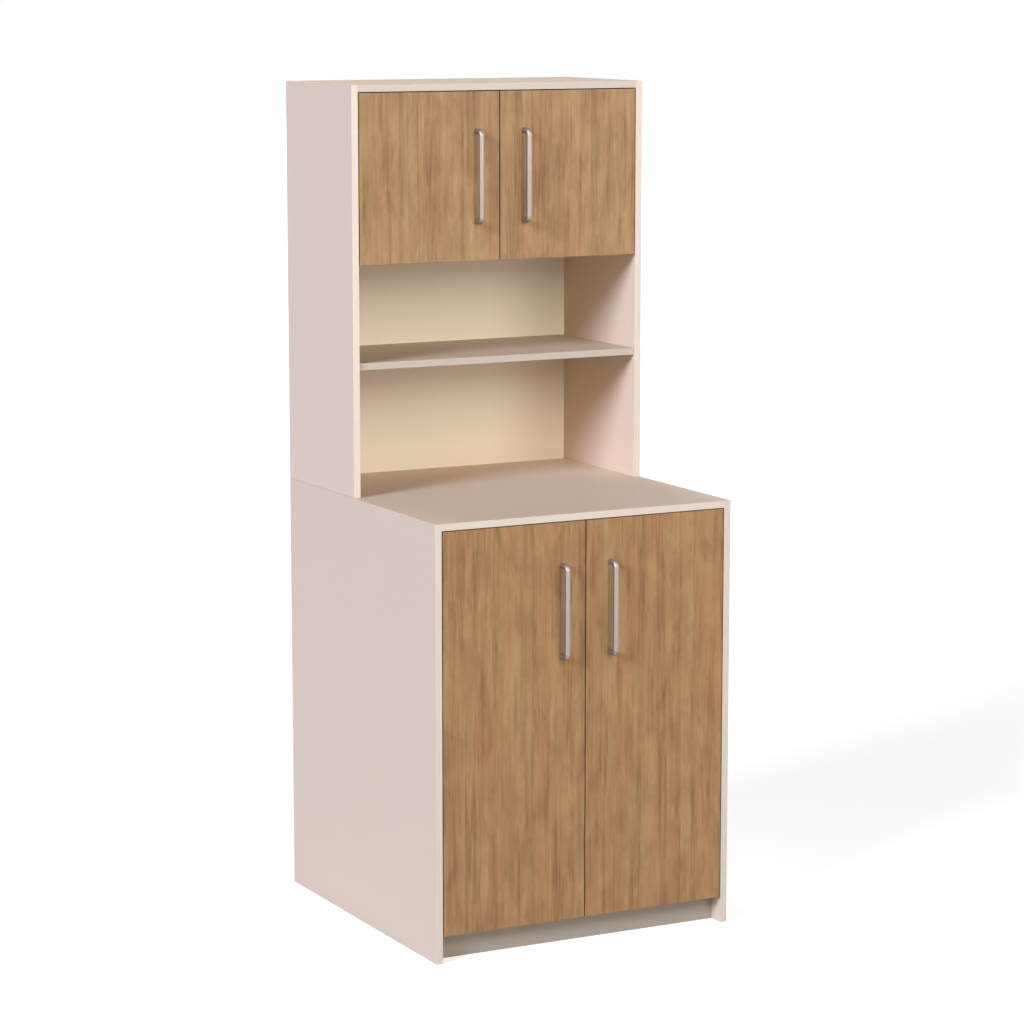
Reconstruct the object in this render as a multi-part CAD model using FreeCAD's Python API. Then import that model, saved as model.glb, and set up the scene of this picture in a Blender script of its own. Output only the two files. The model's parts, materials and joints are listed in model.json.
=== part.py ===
import FreeCAD, Part
import math
import os

# Kitchen buffet cabinet: a deep base cabinet with a worktop and two tall inset doors, and a
# shallower hutch on its rear part with two open niches under a small cupboard with two inset doors.
# All sizes are millimetres. X is the width, the fronts face -Y, Z is up and z = 0 is the floor.

# Whole cabinet
width = 700.0
base_depth = 730.0
hutch_depth = 340.0
total_height = 1800.0
worktop_height = 925.0
board = 15.0
board_edge_radius = 0.5

# Boards inside the two cabinets
plinth_height = 55.0
plinth_setback = 38.0
back_thickness = 3.0
back_inset = 8.0
back_groove_depth = 5.0
back_groove_play = 0.1
cupboard_height = 378.0
niche_shelf_share = 273 / 497
niche_shelf_setback = 5.0
base_shelf_height = 478.0
base_shelf_setback = 60.0
shelf_side_play = 0.75
shelf_back_play = 1.0

# Doors
door_thickness = 15.0
door_edge_radius = 1.0
door_side_gap = 2.5
door_middle_gap = 2.5
door_top_gap = 2.0
door_back_gap = 4.5
base_door_overhang = 13.0
hutch_door_overhang = 16.0

# Bar handles
handle_centres = 192.0
handle_bar_diameter = 12.0
handle_stand_off = 26.0
handle_bend_radius = 9.0
handle_edge_distance = 56.0
base_handle_drop = 91.0
handle_screw_radius = 2.0
handle_screw_reach = 8.0
handle_screw_head_radius = 3.8
handle_screw_head_height = 2.2

# Concealed hinge: cup in the door
hinge_end_distance = 80.0
cup_bore_radius = 17.5
cup_bore_depth = 12.0
cup_edge_distance = 3.0
cup_fit = 0.1
cup_wall = 1.3
cup_floor = 0.8
flange_width = 24.0
flange_length = 60.0
flange_thickness = 1.0
flange_corner_radius = 5.0
cup_screw_offset = 6.0
cup_screw_spacing = 48.0
cup_screw_radius = 1.75
cup_screw_head_radius = 3.4
cup_screw_length = 10.0

# Concealed hinge: pivots, from the side panel's inner face (x) and from the door's back face (y)
inner_cup_pivot = (12.4, -8.5)
inner_arm_pivot = (37.0, 4.2)
outer_cup_pivot = (13.2, -3.6)
outer_arm_pivot = (39.0, 12.0)
pivot_pin_radius = 1.25
pivot_play = 0.08
pivot_pin_seat = 0.3

# Concealed hinge: links
inner_link_knee = (24.0, -8.9)
inner_link_half_height = 1.8
inner_link_half_width = 3.8
inner_link_eye_radius = 2.4
outer_link_knee = (20.5, -4.5)
outer_link_shoulder = (32.6, 10.4)
outer_link_half_height = 1.9
outer_link_eye_radius = 2.2
outer_link_inside = 5.4
outer_link_plate = 1.4
outer_link_web = 1.2
outer_link_fork_start = (13.2, -3.4)
outer_link_slot_end = (14.45, -2.9)
outer_link_slot_mouth = (9.5, -4.8)
outer_link_slot_play = 0.42
outer_link_fork_radius = 2.6

# Concealed hinge: cranked arm and mounting plate
arm_inside = 7.2
arm_sheet = 1.3
arm_nose_front = 1.8
arm_nose_left = 33.6
arm_nose_right = 42.8
arm_nose_bevel = 1.8
arm_crank_front = 16.0
arm_crank_rear = 19.0
arm_throat = 30.0
arm_rear_top = 16.0
arm_rear_bottom = 5.0
arm_bend_front = 35.0
arm_bend_rear = 41.0
arm_end = 89.0
plate_line = 49.0
plate_screw_spacing = 32.0
plate_wing_thickness = 2.5
plate_wing_width = 18.0
plate_wing_length = 50.0
plate_ridge_play = 0.4
plate_ridge_front = 43.0
plate_ridge_rear = 85.0
plate_screw_radius = 2.5
plate_screw_head_radius = 4.2
plate_screw_length = 11.0
arm_screw_place = 71.0
arm_screw_radius = 2.2
arm_screw_head_radius = 4.2
arm_screw_head_height = 1.8
arm_screw_reach = 8.0

# Knock-down fittings and shelf pins
cam_radius = 7.5
cam_depth = 12.0
cam_edge_distance = 24.0
cam_bolt_radius = 3.0
cam_bolt_anchor = 9.0
cam_bolt_grip = 5.0
cam_end_distance = 50.0
dowel_radius = 4.0
dowel_length = 25.0
dowel_end_distance = 50.0
plinth_dowel_height = 28.0
shelf_pin_radius = 2.5
shelf_pin_anchor = 8.0
shelf_pin_reach = 9.0
shelf_pin_end_distance = 60.0
joining_plate_width = 12.0
joining_plate_length = 70.0
joining_plate_thickness = 2.0
joining_screw_radius = 1.75
joining_screw_length = 20.0
joining_screw_head_radius = 3.2
joining_screw_spacing = 18.0
joining_screw_count = 4

# How far a cutting tool runs past the face it opens
overrun = 1.0

# Places worked out from the sizes
inner_half = width / 2 - board
cupboard_floor_height = total_height - cupboard_height
niche_shelf_height = worktop_height + niche_shelf_share * (cupboard_floor_height - worktop_height)
handle_reach = handle_stand_off + handle_bar_diameter / 2
total_depth = handle_reach + base_depth + joining_plate_thickness
front = handle_reach - total_depth / 2
rear = front + base_depth
hutch_front = rear - hutch_depth
back_front = rear - back_inset - back_thickness
worktop_under = worktop_height - board
hutch_top_under = total_height - board
base_floor_top = plinth_height + board
base_door_bottom = base_floor_top - base_door_overhang
base_door_top = worktop_under - door_top_gap
hutch_door_bottom = cupboard_floor_height + board - hutch_door_overhang
hutch_door_top = hutch_top_under - door_top_gap
cup_x = door_side_gap + cup_edge_distance + cup_bore_radius
cup_outer_radius = cup_bore_radius - cup_fit
cup_inner_radius = cup_outer_radius - cup_wall
cup_floor_y = cup_floor - cup_bore_depth
link_hole_radius = pivot_pin_radius + pivot_play
outer_link_outside = outer_link_inside + outer_link_plate
arm_outside = arm_inside + arm_sheet


def vec(x, y, z=0.0):
    return FreeCAD.Vector(x, y, z)


def box(x0, x1, y0, y1, z0, z1):
    return Part.makeBox(x1 - x0, y1 - y0, z1 - z0, vec(x0, y0, z0))


def rod(radius, length, start, direction):
    return Part.makeCylinder(radius, length, start, direction)


def along_z(radius, x, y, z0, z1):
    return rod(radius, z1 - z0, vec(x, y, z0), vec(0, 0, 1))


def group(shapes):
    return shapes[0] if len(shapes) == 1 else Part.makeCompound(shapes)


def fuse(shapes):
    return shapes[0].multiFuse(shapes[1:]).removeSplitter() if len(shapes) > 1 else shapes[0]


def cut(shape, tools):
    return shape.cut(tools) if tools else shape


def prism(points, z0, z1):
    """A straight prism over a closed outline in the XY plane."""
    corners = [vec(x, y, z0) for x, y in points]
    wire = Part.makePolygon(corners + corners[:1])
    return Part.Face(wire).extrude(vec(0, 0, z1 - z0))


def eased(panel, y, radius):
    """Rounds the long edges of the front face, which lies at y, as edge banding and foil do."""
    long_edges = [edge for edge in panel.Edges
                  if edge.Length > 2 * board and all(abs(corner.Y - y) < radius for corner in edge.Vertexes)]
    return panel.makeFillet(radius, long_edges)


def eased_all_round(panel, radius):
    """Rounds every long edge of a board."""
    return panel.makeFillet(radius, [edge for edge in panel.Edges if edge.Length > 2 * board])


def strap(points, radius, z0, z1):
    """A bar of even height with round ends that follows points in the XY plane."""
    pieces = [along_z(radius, x, y, z0, z1) for x, y in points]
    for (x0, y0), (x1, y1) in zip(points, points[1:]):
        length = math.hypot(x1 - x0, y1 - y0)
        nx = (y1 - y0) / length * radius
        ny = -(x1 - x0) / length * radius
        corners = [(x0 + nx, y0 + ny), (x1 + nx, y1 + ny), (x1 - nx, y1 - ny), (x0 - nx, y0 - ny)]
        pieces.append(prism(corners, z0, z1))
    return fuse(pieces)


def screw(point, direction, radius, length, head_radius, head_height):
    """A screw whose countersunk head's face lies at the point and whose shank runs along direction."""
    way = vec(*direction)
    head = Part.makeCone(head_radius, radius, head_height, point, way)
    return fuse([head, rod(radius, length, point, way)])


def chord(radius, offset):
    return math.sqrt(radius ** 2 - offset ** 2)


# One hinge in its own frame: x from the side panel's inner face, y from the door's back face and
# z from the hinge's middle. It is written for a left-hand door and mirrored for a right-hand one.

def pin(pivot, z0, z1):
    return along_z(pivot_pin_radius, pivot[0], pivot[1], z0, z1)


def inner_cup_pin():
    half = chord(cup_inner_radius, cup_x - inner_cup_pivot[0]) + pivot_pin_seat
    return pin(inner_cup_pivot, -half, half)


def outer_cup_pins():
    half = chord(cup_inner_radius, cup_x - outer_cup_pivot[0]) + pivot_pin_seat
    inside = outer_link_inside - pivot_play
    return [pin(outer_cup_pivot, inside, half), pin(outer_cup_pivot, -half, -inside)]


def cup_pins():
    return [inner_cup_pin()] + outer_cup_pins()


def cup_screws():
    made = []
    for side in (-1, 1):
        point = vec(cup_x + cup_screw_offset, flange_thickness, side * cup_screw_spacing / 2)
        made.append(screw(point, (0, -1, 0), cup_screw_radius, cup_screw_length,
                          cup_screw_head_radius, flange_thickness))
    return made


def cup():
    axis = vec(0, 1, 0)
    shell = rod(cup_outer_radius, cup_bore_depth, vec(cup_x, -cup_bore_depth, 0), axis)
    half = flange_width / 2
    flange = box(cup_x - half, cup_x + half, 0, flange_thickness, -flange_length / 2, flange_length / 2)
    upright = [edge for edge in flange.Edges
               if abs(edge.Vertexes[0].Y - edge.Vertexes[1].Y) > flange_thickness / 2]
    flange = flange.makeFillet(flange_corner_radius, upright)
    hollow = rod(cup_inner_radius, cup_bore_depth + flange_thickness, vec(cup_x, cup_floor_y, 0), axis)
    return cut(fuse([shell, flange]).cut(hollow), cup_pins() + cup_screws())


def door_cutters():
    """What the hinge needs cut out of its door."""
    bore = rod(cup_bore_radius, cup_bore_depth + overrun, vec(cup_x, -cup_bore_depth, 0), vec(0, 1, 0))
    return [bore] + cup_screws()


def inner_link():
    half = inner_link_half_width
    body = strap([inner_cup_pivot, inner_link_knee, inner_arm_pivot], inner_link_half_height, -half, half)
    eye = along_z(inner_link_eye_radius, inner_arm_pivot[0], inner_arm_pivot[1], -half, half)
    holes = [along_z(link_hole_radius, x, y, -half - overrun, half + overrun)
             for x, y in (inner_cup_pivot, inner_arm_pivot)]
    return cut(fuse([body, eye]), holes)


def outer_link():
    """Two bent side plates and a web. The fork at the cup end is open, so its pin can slide a little."""
    route = [outer_link_slot_end, outer_link_knee, outer_link_shoulder, outer_arm_pivot]
    fork = [outer_link_fork_start, outer_link_slot_end]
    ax, ay = outer_arm_pivot
    pieces = []
    for z0 in (outer_link_inside, -outer_link_outside):
        z1 = z0 + outer_link_plate
        pieces += [strap(route, outer_link_half_height, z0, z1), strap(fork, outer_link_fork_radius, z0, z1),
                   along_z(outer_link_eye_radius, ax, ay, z0, z1)]
    sx, sy = outer_link_shoulder
    web_back = sy + outer_link_half_height
    pieces.append(box(sx + outer_link_web, ax - outer_link_eye_radius, web_back - outer_link_web, web_back,
                      -outer_link_outside, outer_link_outside))
    slot = strap([outer_link_slot_mouth, outer_link_slot_end], pivot_pin_radius + outer_link_slot_play,
                 -arm_outside, arm_outside)
    return cut(fuse(pieces), [along_z(link_hole_radius, ax, ay, -arm_outside, arm_outside), slot])


def arm_pins():
    return [pin(pivot, -arm_outside, arm_outside) for pivot in (inner_arm_pivot, outer_arm_pivot)]


def arm_outline():
    """The arm's side view."""
    bevel = arm_nose_bevel
    return [(arm_nose_right, arm_nose_front), (arm_nose_right, arm_crank_rear), (arm_rear_top, arm_bend_rear),
            (arm_rear_top, arm_end), (arm_rear_bottom, arm_end), (arm_rear_bottom, arm_bend_front),
            (arm_throat, arm_crank_front), (arm_nose_left, outer_arm_pivot[1] - bevel),
            (arm_nose_left, arm_nose_front + bevel), (arm_nose_left + bevel, arm_nose_front)]


def arm_hollow():
    """What the sheet folds around: closed on the web's side, open on every other side."""
    nose = arm_nose_right - arm_sheet
    top = arm_rear_top - arm_sheet
    low = arm_rear_bottom - overrun
    start = arm_nose_front - overrun
    end = arm_end + overrun
    return [(nose, start), (nose, arm_crank_rear - arm_sheet), (top, arm_bend_rear - arm_sheet), (top, end),
            (low, end), (low, arm_bend_front - overrun), (arm_throat - overrun, arm_crank_front - overrun),
            (arm_nose_left - overrun, start)]


def arm():
    body = prism(arm_outline(), -arm_outside, arm_outside)
    shell = body.cut(prism(arm_hollow(), -arm_inside, arm_inside))
    return cut(shell, arm_pins() + [arm_screw()])


def plate_ridge_top():
    return arm_rear_top - arm_sheet - plate_ridge_play


def mounting_plate():
    half = plate_wing_width / 2
    wings = box(0, plate_wing_thickness, plate_line - half, plate_line + half,
                -plate_wing_length / 2, plate_wing_length / 2)
    side = arm_inside - plate_ridge_play
    ridge = box(0, plate_ridge_top(), plate_ridge_front, plate_ridge_rear, -side, side)
    return cut(fuse([wings, ridge]), plate_screws() + [arm_screw()])


def plate_screws():
    made = []
    for side in (-1, 1):
        point = vec(plate_wing_thickness, plate_line, side * plate_screw_spacing / 2)
        made.append(screw(point, (-1, 0, 0), plate_screw_radius, plate_screw_length,
                          plate_screw_head_radius, plate_wing_thickness))
    return made


def arm_screw():
    point = vec(arm_rear_top + arm_screw_head_height, arm_screw_place, 0)
    way = vec(-1, 0, 0)
    head = rod(arm_screw_head_radius, arm_screw_head_height, point, way)
    return fuse([head, rod(arm_screw_radius, arm_screw_reach + arm_screw_head_height, point, way)])


# Doors: name, side (-1 left, 1 right), front plane, bottom, top and handle middle

def handle_middle(bottom, top, drop):
    return top - drop - handle_centres / 2 if drop else (bottom + top) / 2


doors = []
for side, hand in ((-1, "left"), (1, "right")):
    doors.append(("base_" + hand, side, front, base_door_bottom, base_door_top,
                  handle_middle(base_door_bottom, base_door_top, base_handle_drop)))
    doors.append(("hutch_" + hand, side, hutch_front, hutch_door_bottom, hutch_door_top,
                  handle_middle(hutch_door_bottom, hutch_door_top, 0)))


def placed(shape, side, front_y, z):
    """Moves a shape from the hinge's frame to its place on the left or right side panel."""
    if side > 0:
        shape = shape.mirror(vec(0, 0, 0), vec(1, 0, 0))
    moved = shape.copy()
    moved.translate(vec(side * inner_half, front_y + door_thickness, z))
    return moved


def hinge_heights(bottom, top):
    return (bottom + hinge_end_distance, top - hinge_end_distance)


def at_hinges(make, door):
    name, side, front_y, bottom, top, middle = door
    made = []
    for z in hinge_heights(bottom, top):
        shapes = make()
        shapes = shapes if isinstance(shapes, list) else [shapes]
        made += [placed(shape, side, front_y, z) for shape in shapes]
    return made


def handle_axis_x(side):
    return side * (door_middle_gap / 2 + handle_edge_distance)


def handle_screws(door):
    name, side, front_y, bottom, top, middle = door
    made = []
    for end in (-1, 1):
        z = middle + end * handle_centres / 2
        back = front_y + door_thickness
        start = vec(handle_axis_x(side), back + handle_screw_head_height, z)
        way = vec(0, -1, 0)
        head = rod(handle_screw_head_radius, handle_screw_head_height, start, way)
        length = handle_screw_head_height + door_thickness + handle_screw_reach
        made.append(fuse([head, rod(handle_screw_radius, length, start, way)]))
    return made


def handle(door):
    name, side, front_y, bottom, top, middle = door
    x = handle_axis_x(side)
    out = front_y - handle_stand_off
    r = handle_bend_radius
    low = middle - handle_centres / 2
    high = middle + handle_centres / 2
    slant = r * (1 - math.sqrt(0.5))
    edges = [Part.LineSegment(vec(x, front_y, low), vec(x, out + r, low)).toShape(),
             Part.Arc(vec(x, out + r, low), vec(x, out + slant, low + slant),
                      vec(x, out, low + r)).toShape(),
             Part.LineSegment(vec(x, out, low + r), vec(x, out, high - r)).toShape(),
             Part.Arc(vec(x, out, high - r), vec(x, out + slant, high - slant),
                      vec(x, out + r, high)).toShape(),
             Part.LineSegment(vec(x, out + r, high), vec(x, front_y, high)).toShape()]
    ring = Part.Wire(Part.makeCircle(handle_bar_diameter / 2, vec(x, front_y, low), vec(0, 1, 0)))
    bar = Part.Wire(edges).makePipeShell([ring], True, False)
    return cut(bar, handle_screws(door))


def door_panel(door):
    name, side, front_y, bottom, top, middle = door
    x0 = side * door_middle_gap / 2
    x1 = side * (inner_half - door_side_gap)
    panel = box(min(x0, x1), max(x0, x1), front_y, front_y + door_thickness, bottom, top)
    panel = eased(panel, front_y, door_edge_radius)
    return cut(panel, at_hinges(door_cutters, door) + handle_screws(door))


# Knock-down fittings: a cam lock under each end of a board, its bolt in the side panel

def cam_places(z, y0, y1):
    """Bolt axes of one board: side, y and the height of the board's middle."""
    return [(side, y, z) for side in (-1, 1) for y in (y0 + cam_end_distance, y1 - cam_end_distance)]


cam_boards = ((worktop_under, front), (plinth_height, front + door_thickness),
              (hutch_top_under, hutch_front), (cupboard_floor_height, hutch_front + door_thickness))
cam_sites = []
for board_bottom, y0 in cam_boards:
    cam_sites += cam_places(board_bottom + board / 2, y0, back_front)


def cam_lock(side, y, z):
    x = side * (inner_half - cam_edge_distance)
    return along_z(cam_radius, x, y, z - board / 2, z - board / 2 + cam_depth)


def cam_bolt(side, y, z):
    start = vec(side * (inner_half + cam_bolt_anchor), y, z)
    length = cam_bolt_anchor + cam_edge_distance - cam_radius + cam_bolt_grip
    return rod(cam_bolt_radius, length, start, vec(-side, 0, 0))


cam_locks = [cam_lock(*site) for site in cam_sites]
cam_bolts = [cam_bolt(*site) for site in cam_sites]

# Dowels: between the hutch's side panels and the base's, and at the plinth's ends
dowels = []
for side in (-1, 1):
    middle_x = side * (inner_half + board / 2)
    for y in (hutch_front + dowel_end_distance, rear - dowel_end_distance):
        dowels.append(along_z(dowel_radius, middle_x, y, worktop_height - dowel_length / 2,
                              worktop_height + dowel_length / 2))
    plinth_y = front + plinth_setback + board / 2
    start = vec(side * (inner_half - dowel_length / 2), plinth_y, plinth_dowel_height)
    dowels.append(rod(dowel_radius, dowel_length, start, vec(side, 0, 0)))

# Shelf pins
shelves = ((base_shelf_height, front + base_shelf_setback),
           (niche_shelf_height, hutch_front + niche_shelf_setback))
pin_sites = []
for z, y0 in shelves:
    for side in (-1, 1):
        for y in (y0 + shelf_pin_end_distance, back_front - shelf_pin_end_distance):
            pin_sites.append((side, y, z - shelf_pin_radius))


def shelf_pin(side, y, z):
    start = vec(side * (inner_half + shelf_pin_anchor), y, z)
    return rod(shelf_pin_radius, shelf_pin_anchor + shelf_pin_reach, start, vec(-side, 0, 0))


shelf_pins = [shelf_pin(*site) for site in pin_sites]

# Flat joining plates on the rear edges of the side panels, across the seam
joining_screws = []
joining_plates = []
for side in (-1, 1):
    middle_x = side * (inner_half + board / 2)
    fixings = []
    for row in range(joining_screw_count):
        z = worktop_height + (row - (joining_screw_count - 1) / 2) * joining_screw_spacing
        point = vec(middle_x, rear + joining_plate_thickness, z)
        fixings.append(screw(point, (0, -1, 0), joining_screw_radius, joining_screw_length,
                             joining_screw_head_radius, joining_plate_thickness))
    joining_screws += fixings
    plate = box(middle_x - joining_plate_width / 2, middle_x + joining_plate_width / 2, rear,
                rear + joining_plate_thickness, worktop_height - joining_plate_length / 2,
                worktop_height + joining_plate_length / 2)
    joining_plates.append(cut(plate, fixings))


def touching(tools, shape):
    """The cutting tools whose boxes meet the shape's box."""
    return [tool for tool in tools if tool.BoundBox.intersect(shape.BoundBox)]


carcass_fasteners = cam_locks + cam_bolts + dowels + shelf_pins + joining_screws
plate_fasteners = [piece for door in doors for piece in at_hinges(plate_screws, door)]


def groove(x0, x1, z0, z1):
    """The slot that a back panel slides into."""
    return box(x0, x1, back_front - back_groove_play, back_front + back_thickness + back_groove_play, z0, z1)


def side_panel(side, y0, z0, z1, groove_bottom, groove_top):
    x0 = side * inner_half
    x1 = side * (inner_half + board)
    panel = eased_all_round(box(min(x0, x1), max(x0, x1), y0, rear, z0, z1), board_edge_radius)
    x2 = side * (inner_half + back_groove_depth)
    x3 = side * (inner_half - overrun)
    slot = groove(min(x2, x3), max(x2, x3), groove_bottom, groove_top)
    return cut(panel, [slot] + touching(carcass_fasteners + plate_fasteners, panel))


def cross_board(y0, y1, z, play=0.0):
    return eased(box(-inner_half + play, inner_half - play, y0, y1, z, z + board), y0, board_edge_radius)


def bored(panel):
    return cut(panel, touching(carcass_fasteners, panel))


def back_panel(z0, z1):
    half = inner_half + back_groove_depth - back_groove_play
    return box(-half, half, back_front, back_front + back_thickness, z0, z1)


def grooved_board(y0, under):
    """A top board with a slot in its underside for the back panel's upper edge."""
    slot = groove(-inner_half, inner_half, under - overrun, under + back_groove_depth)
    return cross_board(y0, rear, under).cut(slot)


base_inside_front = front + door_thickness + door_back_gap
hutch_inside_front = hutch_front + door_thickness + door_back_gap

nodes = {
    "base_side_left": side_panel(-1, front, 0, worktop_height, plinth_height,
                                 worktop_under + back_groove_depth),
    "base_side_right": side_panel(1, front, 0, worktop_height, plinth_height,
                                  worktop_under + back_groove_depth),
    "worktop": bored(grooved_board(front, worktop_under)),
    "base_bottom": bored(cross_board(base_inside_front, back_front, plinth_height)),
    "plinth": bored(box(-inner_half, inner_half, front + plinth_setback, front + plinth_setback + board,
                        0, plinth_height)),
    "base_shelf": cross_board(front + base_shelf_setback, back_front - shelf_back_play, base_shelf_height,
                              shelf_side_play),
    "base_back": back_panel(plinth_height, worktop_under + back_groove_depth - back_groove_play),
    "hutch_side_left": side_panel(-1, hutch_front, worktop_height, total_height, worktop_height,
                                  hutch_top_under + back_groove_depth),
    "hutch_side_right": side_panel(1, hutch_front, worktop_height, total_height, worktop_height,
                                   hutch_top_under + back_groove_depth),
    "hutch_top": bored(grooved_board(hutch_front, hutch_top_under)),
    "cupboard_floor": bored(cross_board(hutch_inside_front, back_front, cupboard_floor_height)),
    "niche_shelf": cross_board(hutch_front + niche_shelf_setback, back_front - shelf_back_play,
                               niche_shelf_height, shelf_side_play),
    "hutch_back": back_panel(worktop_height, hutch_top_under + back_groove_depth - back_groove_play),
    "cam_locks": group([cut(lock, touching(cam_bolts, lock)) for lock in cam_locks]),
    "cam_bolts": group(cam_bolts),
    "dowels": group(dowels),
    "shelf_pins": group(shelf_pins),
    "joining_plates": group(joining_plates),
    "joining_screws": group(joining_screws),
}

for door in doors:
    name = door[0]
    nodes["door_" + name] = door_panel(door)
    nodes["handle_" + name] = handle(door)
    nodes["handle_screws_" + name] = group(handle_screws(door))
    nodes["hinge_cups_" + name] = group(at_hinges(cup, door))
    nodes["hinge_cup_pins_" + name] = group(at_hinges(cup_pins, door))
    nodes["hinge_cup_screws_" + name] = group(at_hinges(cup_screws, door))
    nodes["hinge_inner_links_" + name] = group(at_hinges(inner_link, door))
    nodes["hinge_outer_links_" + name] = group(at_hinges(outer_link, door))
    nodes["hinge_arms_" + name] = group(at_hinges(arm, door))

nodes["hinge_arm_pins"] = group([piece for door in doors for piece in at_hinges(arm_pins, door)])
nodes["hinge_arm_screws"] = group([piece for door in doors for piece in at_hinges(arm_screw, door)])
nodes["hinge_plates"] = group([piece for door in doors for piece in at_hinges(mounting_plate, door)])
nodes["hinge_plate_screws"] = group(plate_fasteners)

os.makedirs("parts", exist_ok=True)
for name, shape in nodes.items():
    shape.exportStep(os.path.join("parts", name + ".step"))
    print(name, len(shape.Solids), "solids", "valid" if shape.isValid() else "INVALID",
          round(shape.Volume), "mm3")
print(len(nodes), "nodes")
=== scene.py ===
# %% [markdown]
# A kitchen buffet cabinet of cream-faced board with wood-grain doors, dressed for the camera.
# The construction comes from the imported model, in metres: boards, doors, hinges and fittings are
# all there. This file adds the finishes, the light, and the small shapes that a solid model
# leaves out, such as the recesses in the screw heads.

# %% Load the frame
import json
import math
import bmesh
import bpy
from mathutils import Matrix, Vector

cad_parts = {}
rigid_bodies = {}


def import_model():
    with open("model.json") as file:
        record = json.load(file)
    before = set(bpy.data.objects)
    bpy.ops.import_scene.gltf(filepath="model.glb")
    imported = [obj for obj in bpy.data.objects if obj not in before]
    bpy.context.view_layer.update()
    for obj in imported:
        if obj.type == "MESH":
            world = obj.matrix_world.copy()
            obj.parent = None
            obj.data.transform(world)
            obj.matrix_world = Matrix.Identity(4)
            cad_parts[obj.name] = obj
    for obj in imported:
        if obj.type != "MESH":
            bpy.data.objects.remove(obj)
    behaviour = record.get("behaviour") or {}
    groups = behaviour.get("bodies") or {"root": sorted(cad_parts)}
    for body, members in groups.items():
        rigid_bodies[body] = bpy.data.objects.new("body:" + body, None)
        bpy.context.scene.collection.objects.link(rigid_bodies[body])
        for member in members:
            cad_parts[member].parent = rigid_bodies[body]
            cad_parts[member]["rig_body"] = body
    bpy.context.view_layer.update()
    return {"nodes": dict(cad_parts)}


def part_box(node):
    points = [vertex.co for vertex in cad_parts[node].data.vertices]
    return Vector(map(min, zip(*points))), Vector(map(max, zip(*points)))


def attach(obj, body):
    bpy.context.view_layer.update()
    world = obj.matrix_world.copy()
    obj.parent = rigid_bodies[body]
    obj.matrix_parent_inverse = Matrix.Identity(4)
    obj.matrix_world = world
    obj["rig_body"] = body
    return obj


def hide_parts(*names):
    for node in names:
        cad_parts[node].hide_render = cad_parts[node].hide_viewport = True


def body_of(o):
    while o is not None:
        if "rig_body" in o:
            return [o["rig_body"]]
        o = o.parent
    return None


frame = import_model()
nodes = frame["nodes"]
DOORS = [f"{tier}_{side}" for tier in ("base", "hutch") for side in ("left", "right")]

# %% [markdown]
# The photograph was taken from the left, a little above the top of the cabinet, with a long lens.
# A camera fitted to the corners of both tiers gives the place and the two angles. The lens is kept
# centred, without shift, because a shift would push the object aside in every other view.

# %% Camera
FROM_CORNER = Vector((-2.920, -5.950, 2.009))
CAMERA_YAW = math.radians(27.49)
CAMERA_PITCH = math.radians(9.07)

camera_data = bpy.data.cameras.new("product_camera")
camera_data.lens = 116.32
camera_data.sensor_width = 36.0
camera = bpy.data.objects.new("product_camera", camera_data)
camera.location = Vector(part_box("base_side_left")[0]) + FROM_CORNER
camera.rotation_euler = (math.pi / 2 - CAMERA_PITCH, 0.0, -CAMERA_YAW)
bpy.context.scene.collection.objects.link(camera)
bpy.context.scene.camera = camera
print("camera", camera_data.lens, "mm")

# %% [markdown]
# The background is pure white in the photograph. The world shows white to the camera and to
# reflections, but lights the object at a lower, plain level. Light Path tells the rays apart.

# %% Node helper
def add(tree, kind, **settings):
    """Adds a node; settings are its properties, or its inputs by name or number."""
    node = tree.nodes.new(kind)
    for key, value in settings.items():
        if hasattr(node, key):
            setattr(node, key, value)
        else:
            node.inputs[key.replace("_", " ")].default_value = value
    return node


def join(tree, source, socket, target, name):
    tree.links.new(source.outputs[socket], target.inputs[name])


def background_rays(tree):
    """1 for the rays that see the background: from the camera, and by way of metal or glass."""
    rays = add(tree, "ShaderNodeLightPath")
    seen = add(tree, "ShaderNodeMath", operation="MAXIMUM")
    seen_all = add(tree, "ShaderNodeMath", operation="MAXIMUM")
    join(tree, rays, "Is Camera Ray", seen, 0)
    join(tree, rays, "Is Glossy Ray", seen, 1)
    join(tree, seen, 0, seen_all, 0)
    join(tree, rays, "Is Transmission Ray", seen_all, 1)
    return seen_all.outputs[0]


# %% World
AMBIENT_COLOUR = (1.0, 0.95, 0.88, 1.0)
AMBIENT_STRENGTH = 0.01

world = bpy.data.worlds.new("studio")
bpy.context.scene.world = world
world.use_nodes = True
tree = world.node_tree
tree.nodes.clear()
lighting = add(tree, "ShaderNodeBackground", Color=AMBIENT_COLOUR, Strength=AMBIENT_STRENGTH)
backdrop = add(tree, "ShaderNodeBackground", Color=(1.0, 1.0, 1.0, 1.0), Strength=1.0)
choose = add(tree, "ShaderNodeMixShader")
out = add(tree, "ShaderNodeOutputWorld")
tree.links.new(background_rays(tree), choose.inputs[0])
join(tree, lighting, 0, choose, 1)
join(tree, backdrop, 0, choose, 2)
join(tree, choose, 0, out, "Surface")
print("world", AMBIENT_STRENGTH)

# %% [markdown]
# Three plain lights make the picture. The main one is a large softbox far away on the left, a
# quarter of the way up: it lights the side panel evenly and draws the slanted soft edge on the
# right wall of each niche. A sun with a wide angle stands in for it. The second is a tall, narrow
# strip in front: narrow, because each upright handle has a distinct dark stripe beside it, and
# tall, because the backs of the niches shade off gently from top to bottom. The third is weak and
# low, a little to the right, and reaches those backs. Two more stay out of the picture: lamps on
# the right and behind, so that the other views aren't dark.

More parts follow.
